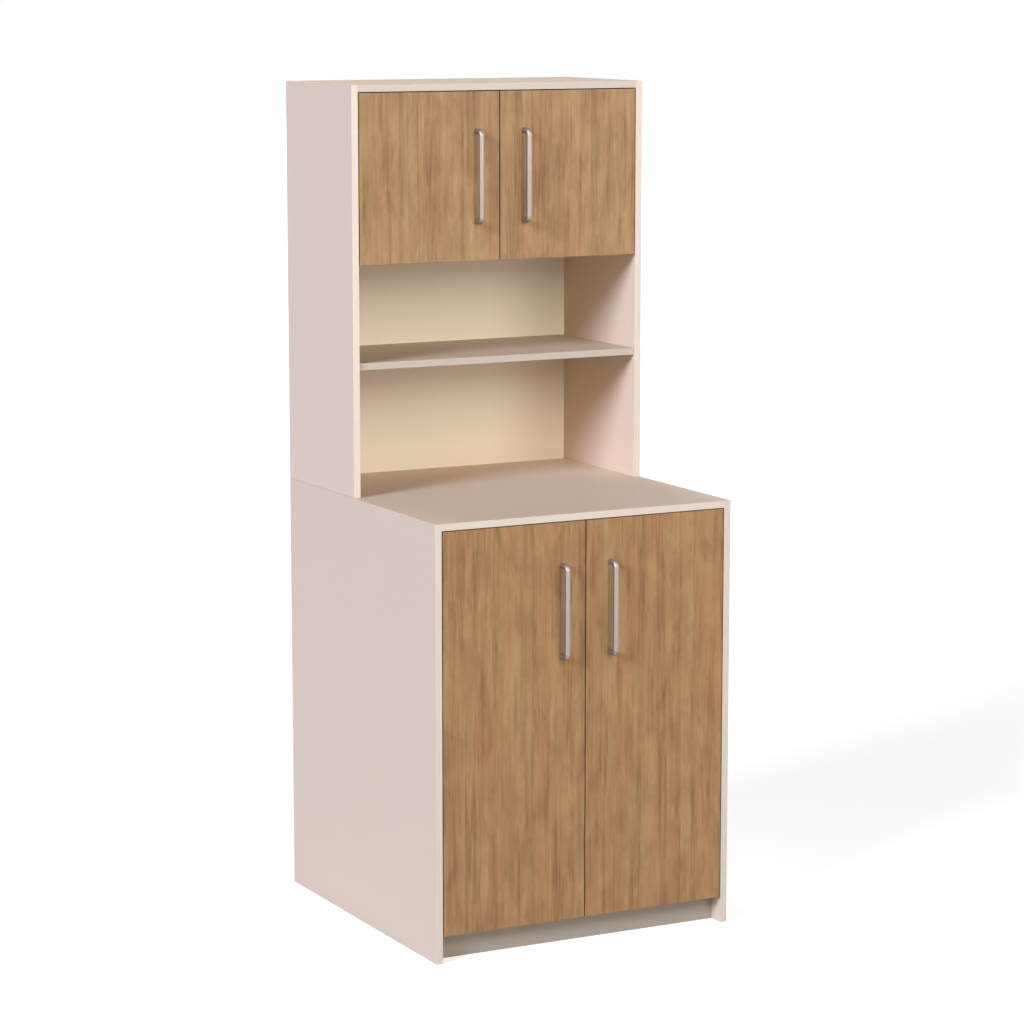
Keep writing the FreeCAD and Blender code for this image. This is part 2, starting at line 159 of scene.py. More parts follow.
# %% Lights
KEY_LEVEL = 0.89
FRONT_LEVEL = 0.444
FILL_LEVEL = 0.20
SIDE_LEVEL = 0.52
REAR_LEVEL = 0.45
KEY_COLOUR = (0.922, 1.0, 1.33)
FRONT_COLOUR = (1.0, 0.965, 0.94)
FRONT_PLACE = Vector((-0.15, -3.90, 2.90))
FRONT_WIDTH, FRONT_HEIGHT = 0.3, 1.8
NICHE_MIDDLE = 1.25
SUN_DISTANCE = 6.0


def direction(azimuth, elevation):
    """Towards a lamp; azimuth is measured from the cabinet's front towards its left side."""
    turn, rise = math.radians(azimuth), math.radians(elevation)
    flat = math.cos(rise)
    return Vector((-math.sin(turn) * flat, -math.cos(turn) * flat, math.sin(rise)))


def hang(name, kind, place, towards, colour):
    data = bpy.data.lights.new(name, kind)
    data.color = colour
    lamp = bpy.data.objects.new(name, data)
    lamp.location = place
    lamp.rotation_euler = towards.to_track_quat("Z", "Y").to_euler()
    bpy.context.scene.collection.objects.link(lamp)
    return data


def far_softbox(name, azimuth, elevation, spread, level, colour):
    """A sun lamp whose disc is as wide as a softbox looks from the cabinet."""
    towards = direction(azimuth, elevation)
    lamp = hang(name, "SUN", towards * SUN_DISTANCE, towards, colour)
    lamp.angle = math.radians(spread)
    lamp.energy = level * math.pi


far_softbox("left_softbox", azimuth=68.0, elevation=24.4, spread=20.0,
            level=KEY_LEVEL, colour=KEY_COLOUR)
far_softbox("right_fill", azimuth=-20.0, elevation=11.0, spread=24.0,
            level=FILL_LEVEL, colour=FRONT_COLOUR)
far_softbox("side_fill", azimuth=-96.0, elevation=2.0, spread=24.0,
            level=SIDE_LEVEL, colour=FRONT_COLOUR)
far_softbox("rear_fill", azimuth=180.0, elevation=30.0, spread=30.0,
            level=REAR_LEVEL, colour=FRONT_COLOUR)

niche_front = Vector((0.0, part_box("hutch_side_left")[0].y, NICHE_MIDDLE))
ahead = FRONT_PLACE - niche_front
front_softbox = hang("front_softbox", "AREA", FRONT_PLACE, ahead.normalized(), FRONT_COLOUR)
front_softbox.shape = "RECTANGLE"
front_softbox.size, front_softbox.size_y = FRONT_WIDTH, FRONT_HEIGHT
front_softbox.energy = FRONT_LEVEL * math.pi ** 2 * ahead.length_squared

# %% [markdown]
# The floor is one wide pale plane. Its paint reflects about three fifths of the light, and for the
# rays that see the background it also shines a little by itself, so that it reads as white paper.
# Only the reflected part goes missing in the cabinet's shadow, so the shadow stays, soft and pale.

# %% Floor
def plane(name, half, z):
    mesh = bpy.data.meshes.new(name)
    mesh.from_pydata([(-half, -half, z), (half, -half, z), (half, half, z), (-half, half, z)],
                     [], [(0, 1, 2, 3)])
    thing = bpy.data.objects.new(name, mesh)
    bpy.context.scene.collection.objects.link(thing)
    return thing


FLOOR_HALF = 40.0
FLOOR_PAINT = (0.62, 0.62, 0.62, 1.0)
FLOOR_LIFT = 0.60
floor = plane("studio_floor", FLOOR_HALF, 0.0)
floor_paint = bpy.data.materials.new("pale_floor")
floor_paint.use_nodes = True
tree = floor_paint.node_tree
surface = tree.nodes["Principled BSDF"]
surface.inputs["Base Color"].default_value = FLOOR_PAINT
surface.inputs["Roughness"].default_value = 0.9
surface.inputs["Emission Color"].default_value = (1.0, 1.0, 1.0, 1.0)
lift = add(tree, "ShaderNodeMath", operation="MULTIPLY")
lift.inputs[1].default_value = FLOOR_LIFT
tree.links.new(background_rays(tree), lift.inputs[0])
join(tree, lift, 0, surface, "Emission Strength")
floor.data.materials.append(floor_paint)
print("floor", floor.name)

# %% [markdown]
# Finishes are built from a few repeated steps: coordinates stretched along a direction, a noise on
# them, and a colour ramp. These small functions keep each material short and readable. All of them
# read Object coordinates, which are the row frame's metres, so a pattern stays on its piece.

# %% Material helpers
def start_material(name, roughness, metallic=0.0, specular=0.5):
    material = bpy.data.materials.new(name)
    material.use_nodes = True
    shader = material.node_tree.nodes["Principled BSDF"]
    shader.inputs["Roughness"].default_value = roughness
    shader.inputs["Metallic"].default_value = metallic
    shader.inputs["Specular IOR Level"].default_value = specular
    return material, material.node_tree, shader


def stretched(tree, scale):
    """Object coordinates with a scale of their own along each axis."""
    place = add(tree, "ShaderNodeTexCoord")
    mapping = add(tree, "ShaderNodeMapping")
    mapping.inputs["Scale"].default_value = scale
    join(tree, place, "Object", mapping, "Vector")
    return mapping


def noise(tree, scale, detail=3.0, roughness=0.55, distortion=0.0, offset=(0.0, 0.0, 0.0)):
    mapping = stretched(tree, scale)
    mapping.inputs["Location"].default_value = offset
    texture = add(tree, "ShaderNodeTexNoise", Scale=1.0, Detail=detail, Roughness=roughness,
                  Distortion=distortion)
    join(tree, mapping, "Vector", texture, "Vector")
    return texture


def ramp(tree, source, socket, stops):
    """A colour ramp; stops are pairs of place and colour."""
    node = add(tree, "ShaderNodeValToRGB")
    elements = node.color_ramp.elements
    while len(elements) < len(stops):
        elements.new(0.5)
    for element, (where, colour) in zip(elements, stops):
        element.position = where
        element.color = (*colour, 1.0)
    join(tree, source, socket, node, "Fac")
    return node


def grey(value):
    return (value, value, value)


def toned(colour, tone):
    return tuple(c * tone for c in colour)


def mix_colour(tree, kind, amount, below, above):
    """Mixes two colour outputs; amount is a number or an output socket."""
    node = add(tree, "ShaderNodeMix", data_type="RGBA", blend_type=kind)
    if isinstance(amount, (int, float)):
        node.inputs[0].default_value = amount
    else:
        tree.links.new(amount, node.inputs[0])
    for socket, value in ((6, below), (7, above)):
        if isinstance(value, tuple):
            node.inputs[socket].default_value = (*value, 1.0)
        else:
            tree.links.new(value, node.inputs[socket])
    return node.outputs[2]


def bump(tree, shader, height, distance, strength):
    node = add(tree, "ShaderNodeBump", Strength=strength, Distance=distance)
    tree.links.new(height, node.inputs["Height"])
    join(tree, node, "Normal", shader, "Normal")


def dress(name, finish):
    nodes[name].data.materials.clear()
    nodes[name].data.materials.append(finish)


print("helpers ready")

# %% [markdown]
# The carcass is cream melamine on chipboard. The face is a printed paper pressed into resin: very
# even in colour, nearly matt, with a fine pearly texture. A paler 1 mm edging closes the front
# edges, and the rear edges are left as raw chipboard, as makers do where nobody looks. Normals and
# heights in object space tell these places apart, so one material covers the whole board.

# %% Tests on place and direction
def facing(tree, axis, limit=0.5):
    """1 where the surface's object-space normal points along an axis, such as +Y."""
    place = add(tree, "ShaderNodeTexCoord")
    split = add(tree, "ShaderNodeSeparateXYZ")
    join(tree, place, "Normal", split, "Vector")
    sign = 1.0 if axis[0] == "+" else -1.0
    scaled = add(tree, "ShaderNodeMath", operation="MULTIPLY")
    scaled.inputs[1].default_value = sign
    join(tree, split, axis[1], scaled, 0)
    test = add(tree, "ShaderNodeMath", operation="GREATER_THAN")
    test.inputs[1].default_value = limit
    join(tree, scaled, 0, test, 0)
    return test.outputs[0]


def beyond(tree, axis, limit, above=True):
    """1 where an object coordinate lies above (or below) a limit in metres."""
    place = add(tree, "ShaderNodeTexCoord")
    split = add(tree, "ShaderNodeSeparateXYZ")
    join(tree, place, "Object", split, "Vector")
    test = add(tree, "ShaderNodeMath", operation="GREATER_THAN" if above else "LESS_THAN")
    test.inputs[1].default_value = limit
    join(tree, split, axis, test, 0)
    return test.outputs[0]


def both(tree, first, second):
    node = add(tree, "ShaderNodeMath", operation="MULTIPLY")
    tree.links.new(first, node.inputs[0])
    tree.links.new(second, node.inputs[1])
    return node.outputs[0]


print("tests ready")

# %% Raw chipboard
CHIPS_PER_METRE = (560.0, 560.0, 340.0)
CHIP_PUSH = (1.1, 1.1, 1.1)
CHIP_COLOURS = [(0.0, (0.34, 0.21, 0.11)), (0.35, (0.50, 0.34, 0.19)),
                (0.75, (0.62, 0.45, 0.27)), (1.0, (0.72, 0.55, 0.36))]


def chipboard_colour(tree):
    """Pressed wood flakes: small cells of tan and brown, pushed about by a noise to be ragged."""
    mapping = stretched(tree, CHIPS_PER_METRE)
    ragged = add(tree, "ShaderNodeTexNoise", Scale=1.6, Detail=3.0, Roughness=0.6)
    join(tree, mapping, "Vector", ragged, "Vector")
    pushed = add(tree, "ShaderNodeVectorMath", operation="MULTIPLY_ADD")
    pushed.inputs[1].default_value = CHIP_PUSH
    join(tree, ragged, "Color", pushed, 0)
    join(tree, mapping, "Vector", pushed, 2)
    cells = add(tree, "ShaderNodeTexVoronoi", Scale=1.0, Randomness=1.0)
    join(tree, pushed, "Vector", cells, "Vector")
    split = add(tree, "ShaderNodeSeparateColor")
    join(tree, cells, "Color", split, "Color")
    return ramp(tree, split, "Red", CHIP_COLOURS)


print("chips per metre", CHIPS_PER_METRE)

# %% Cream board
CREAM = (0.705, 0.558, 0.408)
CREAM_EDGE = (0.705, 0.606, 0.480)
# Painted shade: a darker cream for a thin band where the tiers meet, standing in for the shade in
# the seam.
JOINT_SHADE_PAINT = (0.54, 0.43, 0.315)
JOINT_SHADE_DEPTH = 0.0007
EDGING_DEPTH = 0.0012
RAW_EDGE_DEPTH = 0.0005
CLOUDS_PER_METRE = (3.0, 3.0, 3.0)
GRAIN_PER_METRE = (1600.0, 1600.0, 1600.0)


def cream_board(name, front_y, rear_y, ends=(), tone=1.0, painted_edge_tone=1.0):
    """Ends are the heights of a painted shade line: a thin darker band in the joint between the
    tiers, where the seam lies in shade, so only as far forward as the upper tier reaches. The tone
    and the edge tone make the face and the front edge paler or darker: painted light and shade."""
    material, tree, shader = start_material(name, 0.55, specular=0.08)
    cloud = noise(tree, CLOUDS_PER_METRE, detail=4.0)
    face = ramp(tree, cloud, "Fac", [(0.3, toned(CREAM, 0.985 * tone)), (0.7, toned(CREAM, tone))])
    edging = beyond(tree, "Y", front_y + EDGING_DEPTH, above=False)
    on_front = both(tree, facing(tree, "-Y"), edging)
    edged = mix_colour(tree, "MIX", on_front, face.outputs["Color"], toned(CREAM_EDGE, painted_edge_tone))
    # The painted shade band in the joint between the tiers.
    for height, above in ends:
        in_joint_shade = both(tree, beyond(tree, "Z", height, above), beyond(tree, "Y", UPPER_FRONT))
        edged = mix_colour(tree, "MIX", in_joint_shade, edged, JOINT_SHADE_PAINT)
    on_rear = both(tree, facing(tree, "+Y"), beyond(tree, "Y", rear_y - RAW_EDGE_DEPTH))
    chips = chipboard_colour(tree)
    whole = mix_colour(tree, "MIX", on_rear, edged, chips.outputs["Color"])
    tree.links.new(whole, shader.inputs["Base Color"])
    grain = noise(tree, GRAIN_PER_METRE, detail=2.0)
    fine = ramp(tree, grain, "Fac", [(0.35, grey(0.50)), (0.65, grey(0.60))])
    join(tree, fine, "Color", shader, "Roughness")
    bump(tree, shader, grain.outputs["Fac"], 0.00006, 0.5)
    return material


def joint_shade_heights(name, low, high):
    """Where the painted shade band sits on a side panel in the joint between the tiers: its height,
    and which side.
    """
    if name.startswith("base_side"):
        return [(high.z - JOINT_SHADE_DEPTH, True)]
    if name.startswith("hutch_side"):
        return [(low.z + JOINT_SHADE_DEPTH, False)]
    return []


EDGE_MARGIN = 0.001
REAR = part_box("base_side_left")[1].y
UPPER_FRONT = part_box("hutch_side_left")[0].y - EDGE_MARGIN
BOARDS = ["base_side_left", "base_side_right", "worktop", "base_bottom", "plinth", "base_shelf",
          "hutch_side_left", "hutch_side_right", "hutch_top", "cupboard_floor", "niche_shelf"]
# Painted light and shade: each piece's face and front edge are made paler or darker than the common
# cream as light falls on it. This includes painted shade on the niche shelf under the cupboard and
# on the plinth under the doors.
PAINTED_LIGHT_TONES = {  # face and front edge, where a piece is paler or darker than the common cream
    "hutch_side_left": (0.98, 1.12), "hutch_side_right": (1.03, 1.07), "hutch_top": (1.0, 0.91),
    "base_side_left": (0.95, 0.95), "base_side_right": (1.0, 0.91), "worktop": (1.0, 0.95),
    "niche_shelf": (0.80, 0.79), "plinth": (0.575, 0.575)}
for name in BOARDS:
    low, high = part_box(name)
    tone, painted_edge_tone = PAINTED_LIGHT_TONES.get(name, (1.0, 1.0))
    dress(name, cream_board("cream_melamine_" + name, low.y, REAR, joint_shade_heights(name, low, high),
                            tone, painted_edge_tone))
print("cream boards", len(BOARDS))

# %% [markdown]
# The backs are thin fibreboard: cream lacquer on the front, brown raw fibre on the rear. The same
# test on the normal splits the two sides.

# %% Back panels
LACQUER = [(0.3, (0.930, 0.825, 0.655)), (0.7, (0.945, 0.840, 0.670))]
RAW_FIBRE = [(0.3, (0.24, 0.140, 0.068)), (0.55, (0.34, 0.210, 0.110)), (0.8, (0.44, 0.290, 0.165))]
BACKS = ("base_back", "hutch_back")


def back_board():
    material, tree, shader = start_material("lacquered_fibreboard", 0.5, specular=0.2)
    cloud = noise(tree, (6.0, 6.0, 6.0), detail=3.0)
    front = ramp(tree, cloud, "Fac", LACQUER).outputs["Color"]
    fibres = noise(tree, (700.0, 700.0, 240.0), detail=5.0, distortion=1.5)
    raw = ramp(tree, fibres, "Fac", RAW_FIBRE).outputs["Color"]
    colour = mix_colour(tree, "MIX", facing(tree, "+Y"), front, raw)
    tree.links.new(colour, shader.inputs["Base Color"])
    bump(tree, shader, fibres.outputs["Fac"], 0.00008, 0.4)
    return material


BACK_BOARD = back_board()
for name in BACKS:
    dress(name, BACK_BOARD)
print("backs", BACKS)

# %% [markdown]
# The doors show a warm oak print with its grain upright. From across a room it reads as soft bands,
# some redder and some yellower, with thin streaks inside them, long dark flecks and a few small
# knots. Close up there are fibres and pores. Each of these is one noise on coordinates that are
# squeezed across the grain and stretched along it, and each multiplies the colour below it.

# %% Oak colours and layers
OAK_RED = (0.409, 0.211, 0.092)
OAK_MIDDLE = (0.402, 0.223, 0.097)
OAK_YELLOW = (0.401, 0.241, 0.105)
OAK_STOPS = [(0.36, OAK_RED), (0.50, OAK_MIDDLE), (0.64, OAK_YELLOW)]
OAK_BANDS = ((20.0, 20.0, 2.6), 3.0, 0.6, 0.5)  # noises per metre, detail, roughness, distortion
WOOD_LAYERS = {  # the same four values, and the stops of the ramp
    "clouds": ((30.0, 30.0, 11.0), 3.0, 0.6, 0.6,
               [(0.32, 0.85), (0.50, 1.0), (0.68, 1.12)]),
    "streaks": ((80.0, 80.0, 2.4), 3.0, 0.55, 0.2,
                [(0.30, 0.86), (0.50, 1.0), (0.70, 1.10)]),
    "veins": ((38.0, 38.0, 1.7), 3.0, 0.55, 0.3,
              [(0.550, 1.0), (0.592, 0.79), (0.634, 1.0)]),
    "flecks": ((70.0, 70.0, 3.2), 2.0, 0.5, 0.0,
               [(0.60, 1.0), (0.76, 0.76)]),
    "fibres": ((620.0, 620.0, 14.0), 3.0, 0.7, 0.0,
               [(0.35, 0.92), (0.60, 1.03)])}
PORES_PER_METRE = (1500.0, 1500.0, 60.0)
KNOTS_PER_METRE = (15.0, 15.0, 6.5)
KNOT_CHANCE = 0.84  # a cell has a knot where its random value is higher than this
KNOT_SHADE = 0.30
print("wood layers", list(WOOD_LAYERS))

# %% Door wood
# Painted light and shade: each tier's doors are scaled from the common oak to the light on them,
# with painted shade making the base doors darker.
DOOR_LIGHT_TONES = {"base": (0.865, 0.85, 0.77), "hutch": (0.945, 1.0, 0.99)}
DOOR_SHIFT = (3.7, 1.3, 5.9)  # how far the pattern moves on from one door to the next


def shade(tree, below, source, socket, stops):
    """Multiplies a colour by a ramp of a pattern. Darker places also turn a little redder."""
    redder = [(where, (value, value ** 1.25, value ** 1.5)) for where, value in stops]
    tone = ramp(tree, source, socket, redder)
    return mix_colour(tree, "MULTIPLY", 1.0, below, tone.outputs["Color"])


def knots(tree, shift):
    """Grey values: 1 on clear wood, darker in a few small upright ovals with a soft rim."""
    mapping = stretched(tree, KNOTS_PER_METRE)
    mapping.inputs["Location"].default_value = shift
    cells = add(tree, "ShaderNodeTexVoronoi", Scale=1.0, Randomness=1.0)
    join(tree, mapping, "Vector", cells, "Vector")
    near = ramp(tree, cells, "Distance", [(0.03, grey(1.0)), (0.11, grey(0.0))])
    split = add(tree, "ShaderNodeSeparateColor")
    join(tree, cells, "Color", split, "Color")
    few = add(tree, "ShaderNodeMath", operation="GREATER_THAN")
    few.inputs[1].default_value = KNOT_CHANCE
    join(tree, split, "Red", few, 0)
    spot = both(tree, near.outputs["Color"], few.outputs[0])
    left = add(tree, "ShaderNodeMath", operation="MULTIPLY_ADD")
    tree.links.new(spot, left.inputs[0])
    left.inputs[1].default_value = -KNOT_SHADE
    left.inputs[2].default_value = 1.0
    return left.outputs[0]


def door_wood(name, shift, tone):
    material, tree, shader = start_material(name, 0.46, specular=0.25)
    bands = noise(tree, *OAK_BANDS, shift)
    colour = ramp(tree, bands, "Fac", OAK_STOPS).outputs["Color"]
    for scale, detail, roughness, distortion, stops in WOOD_LAYERS.values():
        layer = noise(tree, scale, detail, roughness, distortion, shift)
        colour = shade(tree, colour, layer, "Fac", stops)
    fibres = layer  # the last one of the loop
    pores = noise(tree, PORES_PER_METRE, detail=2.0, roughness=0.6, offset=shift)
    pits = ramp(tree, pores, "Fac", [(0.30, grey(0.66)), (0.40, grey(1.0))])
    colour = mix_colour(tree, "MULTIPLY", 0.7, colour, pits.outputs["Color"])
    colour = mix_colour(tree, "MULTIPLY", 1.0, colour, knots(tree, shift))
    # Painted light and shade: the tier's tone scales the colour, darker on the base doors.
    colour = mix_colour(tree, "MULTIPLY", 1.0, colour, tone)
    tree.links.new(colour, shader.inputs["Base Color"])

    shine = ramp(tree, fibres, "Fac", [(0.3, grey(0.54)), (0.7, grey(0.42))])
    join(tree, shine, "Color", shader, "Roughness")
    bump(tree, shader, pits.outputs["Color"], 0.00008, 0.5)
    return material


for count, door in enumerate(DOORS):
    shift = tuple(step * count for step in DOOR_SHIFT)
    tone = DOOR_LIGHT_TONES[door.split("_")[0]]
    dress("door_" + door, door_wood("oak_door_" + door, shift, tone))
print("doors", len(DOORS))

# %% [markdown]
# Metal parts differ mostly in roughness and in the direction of their fine marks. The bar handles
# are satin nickel, brushed along the bar; hinges are bright nickel; cam locks are grey die-cast
# zinc; screws and plates are zinc-plated with a faint yellow-blue film.

# %% Metals
def metal(name, colour, roughness, marks, depth=0.00002, spread=0.08):
    """Marks are noises per metre along each axis: few along the way a part was brushed."""
    material, tree, shader = start_material(name, roughness, 1.0)
    lines = noise(tree, marks, detail=3.0)
    tint = ramp(tree, lines, "Fac", [(0.3, toned(colour, 0.94)), (0.7, colour)])
    join(tree, tint, "Color", shader, "Base Color")
    least, most = grey(roughness - spread), grey(roughness + spread)
    gloss = ramp(tree, lines, "Fac", [(0.3, least), (0.7, most)])
    join(tree, gloss, "Color", shader, "Roughness")
    bump(tree, shader, lines.outputs["Fac"], depth, 0.4)
    return material


SATIN_NICKEL = metal("satin_nickel", (0.345, 0.293, 0.250), roughness=0.52,
                     marks=(2600.0, 2600.0, 60.0))
BRIGHT_NICKEL = metal("bright_nickel", (0.72, 0.71, 0.69), roughness=0.20,
                      marks=(500.0, 500.0, 500.0), spread=0.05)
ZINC_PLATE = metal("zinc_plate", (0.62, 0.62, 0.60), roughness=0.30,
                   marks=(300.0, 300.0, 300.0), spread=0.06)
CAST_ZINC = metal("cast_zinc", (0.44, 0.44, 0.43), roughness=0.46,
                  marks=(900.0, 900.0, 900.0), depth=0.00006)
ZINC_PARTS = ("joining_plates", "joining_screws", "cam_bolts")
for name in nodes:
    if name.startswith("handle_screws") or name in ZINC_PARTS:
        dress(name, ZINC_PLATE)
    elif name.startswith("handle_"):
        dress(name, SATIN_NICKEL)
    elif name.startswith("hinge_") or name == "shelf_pins":
        dress(name, BRIGHT_NICKEL)
    elif name == "cam_locks":
        dress(name, CAST_ZINC)
print("metals", [m.name for m in (SATIN_NICKEL, BRIGHT_NICKEL, ZINC_PLATE, CAST_ZINC)])

# %% [markdown]
# The dowels are short beech sticks, pale brown and unfinished. They are hidden in the boards, so
# one plain wood with fine upright fibres is enough.

# %% Dowels
def beech():
    material, tree, shader = start_material("beech_dowel", 0.6)
    lines = noise(tree, (300.0, 300.0, 60.0), detail=4.0)
    tint = ramp(tree, lines, "Fac", [(0.3, (0.52, 0.34, 0.19)), (0.7, (0.66, 0.46, 0.28))])
    join(tree, tint, "Color", shader, "Base Color")
    return material


dress("dowels", beech())
print("dowels in beech")

# %% [markdown]
# Small repeated pieces are grown by Geometry Nodes. A tree is built here in code, with named inputs
# for its sizes, so that one screw tree serves every kind of screw. The tree's result is turned into
# a plain mesh, one for each moving body, because the model that is shared holds no live nodes.

# %% Geometry Nodes helpers
def new_tree(name, inputs):
    """A tree with a Geometry input and output, and named inputs given as name: (kind, value)."""
    tree = bpy.data.node_groups.new(name, "GeometryNodeTree")
    tree.interface.new_socket("Geometry", in_out="INPUT", socket_type="NodeSocketGeometry")
    for label, (kind, value) in inputs.items():
        socket = tree.interface.new_socket(label, in_out="INPUT", socket_type="NodeSocket" + kind)
        if value is not None:
            socket.default_value = value
    tree.interface.new_socket("Geometry", in_out="OUTPUT", socket_type="NodeSocketGeometry")
    return tree, add(tree, "NodeGroupInput"), add(tree, "NodeGroupOutput")


CREASE = math.radians(35)


def finish_tree(tree, source, start, end):
    """Smooths faces, keeps sharp edges sharp, and ends in Realize Instances and Set Material."""
    real = add(tree, "GeometryNodeRealizeInstances")
    smooth = add(tree, "GeometryNodeSetShadeSmooth", domain="FACE")
    angle = add(tree, "GeometryNodeInputMeshEdgeAngle")
    soft = add(tree, "FunctionNodeCompare", data_type="FLOAT", operation="LESS_THAN")
    soft.inputs[1].default_value = CREASE
    creased = add(tree, "GeometryNodeSetShadeSmooth", domain="EDGE")
    paint = add(tree, "GeometryNodeSetMaterial")
    tree.links.new(source, smooth.inputs["Geometry"])
    join(tree, smooth, "Geometry", creased, "Geometry")
    join(tree, angle, "Unsigned Angle", soft, 0)
    join(tree, soft, "Result", creased, "Shade Smooth")
    join(tree, creased, "Geometry", real, "Geometry")
    join(tree, real, "Geometry", paint, "Geometry")
    join(tree, start, "Finish", paint, "Material")
    join(tree, paint, "Geometry", end, "Geometry")


def grown(name, mesh, tree, values):
    """Runs a tree on a mesh with values by input name, and leaves a plain object."""
    thing = bpy.data.objects.new(name, mesh)
    bpy.context.scene.collection.objects.link(thing)
    growth = thing.modifiers.new("growth", "NODES")
    growth.node_group = tree
    for socket in tree.interface.items_tree:
        if socket.in_out == "INPUT" and socket.name in values:
            growth[socket.identifier] = values[socket.name]
    bpy.context.view_layer.update()
    evaluated = thing.evaluated_get(bpy.context.evaluated_depsgraph_get())
    plain = bpy.data.meshes.new_from_object(evaluated)
    plain.name = name
    thing.modifiers.remove(growth)
    thing.data = plain
    plain.materials.clear()
    plain.materials.append(values["Finish"])
    return thing


def stands_for(thing, node):
    """The piece takes the place of a CAD node, on the same body."""
    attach(thing, body_of(nodes[node])[0])
    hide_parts(node)


print("tree helpers ready")

# %% [markdown]
# A bar handle is one bent rod: out of the door, along it, and back. That is a path with rounded
# corners and a circle swept along it, which is just what Mesh to Curve, Fillet Curve and Curve to
# Mesh do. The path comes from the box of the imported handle, so the bar keeps its place and length.

# %% Handle bars
BAR_RADIUS = 0.006
BEND_RADIUS = 0.009
BEND_STEPS = 14

bar_tree, start, end = new_tree("bent_bar", {
    "Bar Radius": ("Float", BAR_RADIUS), "Bend Radius": ("Float", BEND_RADIUS),
    "Sides": ("Int", 32), "Finish": ("Material", None)})
path = add(bar_tree, "GeometryNodeMeshToCurve")
bends = add(bar_tree, "GeometryNodeFilletCurve", mode="POLY")
bends.inputs["Count"].default_value = BEND_STEPS
ring = add(bar_tree, "GeometryNodeCurvePrimitiveCircle")
sweep = add(bar_tree, "GeometryNodeCurveToMesh")
sweep.inputs["Fill Caps"].default_value = True
join(bar_tree, start, "Geometry", path, "Mesh")
join(bar_tree, path, "Curve", bends, "Curve")
join(bar_tree, start, "Bend Radius", bends, "Radius")
join(bar_tree, start, "Sides", ring, "Resolution")
join(bar_tree, start, "Bar Radius", ring, "Radius")
join(bar_tree, bends, "Curve", sweep, "Curve")
join(bar_tree, ring, "Curve", sweep, "Profile Curve")
finish_tree(bar_tree, sweep.outputs["Mesh"], start, end)

for door in DOORS:
    low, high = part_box("handle_" + door)
    x = (low.x + high.x) / 2
    out = low.y + BAR_RADIUS
    bottom, top = low.z + BAR_RADIUS, high.z - BAR_RADIUS
    route = bpy.data.meshes.new("handle_route_" + door)
    route.from_pydata([(x, high.y, bottom), (x, out, bottom), (x, out, top), (x, high.y, top)],
                      [(0, 1), (1, 2), (2, 3)], [])
    bar = grown("bar_handle_" + door, route, bar_tree, {"Finish": SATIN_NICKEL})
    stands_for(bar, "handle_" + door)
    print(bar.name, len(bar.data.polygons), "faces")

# %% [markdown]
# Every screw in the cabinet has a cross recess. Its head is a cone or a short cylinder, its shank a
# cylinder, and the recess is cut from the head with a Mesh Boolean. The places are read from the
# packed screws: each loose solid of a node is one screw, and the face of its head is one point that
# carries the direction it looks in. A small random turn keeps the crosses from lining up.

# %% Where the screws are
WELD = 1e-6


def solids_of(node):
    """Lowest and highest corner of each loose solid in a CAD node, from a merged copy of it."""
    work = bmesh.new()
    work.from_mesh(nodes[node].data)
    bmesh.ops.remove_doubles(work, verts=work.verts, dist=WELD)
    left, found = set(work.verts), []
    while left:
        edge_of_known = [left.pop()]
        solid = []
        while edge_of_known:
            vert = edge_of_known.pop()
            solid.append(vert.co.copy())
            for edge in vert.link_edges:
                other = edge.other_vert(vert)
                if other in left:
                    left.discard(other)
                    edge_of_known.append(other)
        found.append((Vector(min(p[a] for p in solid) for a in range(3)),
                      Vector(max(p[a] for p in solid) for a in range(3))))
    work.free()
    return found


def head_points(node, way):
    """A mesh of points, one at each screw's head, with the outward direction as an attribute."""
    places, ways = [], []
    for low, high in solids_of(node):
        middle = (low + high) / 2
        out = Vector((0, 1, 0)) if way == "Y" else Vector((1 if middle.x < 0 else -1, 0, 0))
        reach = (high.y - low.y) / 2 if way == "Y" else (high.x - low.x) / 2
        places.append(middle + out * reach)
        ways.append(out)
    mesh = bpy.data.meshes.new("points_" + node)
    mesh.from_pydata(places, [], [])
    outward = mesh.attributes.new("outward", "FLOAT_VECTOR", "POINT")
    outward.data.foreach_set("vector", [c for out in ways for c in out])
    return mesh


print("cup screws on a door", len(solids_of("hinge_cup_screws_base_left")))

# %% [markdown]
# The tree builds one screw at the origin, head up, with its top face at zero: a cone for the head,
# two crossed bars taken out of it, and a cylinder below. Its sizes are inputs, so a short wide cup
# screw and a long handle screw come from the same nodes. Then it puts one on each point.

# %% Screw tree and its inputs
HEAD_SIDES = 32
SHANK_SIDES = 20
QUARTER_TURN = math.radians(90)
screw_tree, start, end = new_tree("cross_head_screw", {
    "Head Radius": ("Float", 0.0034), "Head Height": ("Float", 0.001),
    "Neck Radius": ("Float", 0.00175), "Shank Radius": ("Float", 0.00175),
    "Length": ("Float", 0.010), "Recess Reach": ("Float", 0.002),
    "Recess Width": ("Float", 0.0007), "Recess Depth": ("Float", 0.0008),
    "Seed": ("Int", 7), "Finish": ("Material", None)})


def number(kind, first, second):
    """A Math node on two outputs or numbers."""
    node = add(screw_tree, "ShaderNodeMath", operation=kind)
    for slot_number, value in enumerate((first, second)):
        if isinstance(value, (int, float)):
            node.inputs[slot_number].default_value = value
        else:
            screw_tree.links.new(value, node.inputs[slot_number])
    return node.outputs[0]


def vector(x=0.0, y=0.0, z=0.0):
    node = add(screw_tree, "ShaderNodeCombineXYZ")
    for slot_number, value in enumerate((x, y, z)):
        if isinstance(value, (int, float)):
            node.inputs[slot_number].default_value = value
        else:
            screw_tree.links.new(value, node.inputs[slot_number])
    return node.outputs[0]


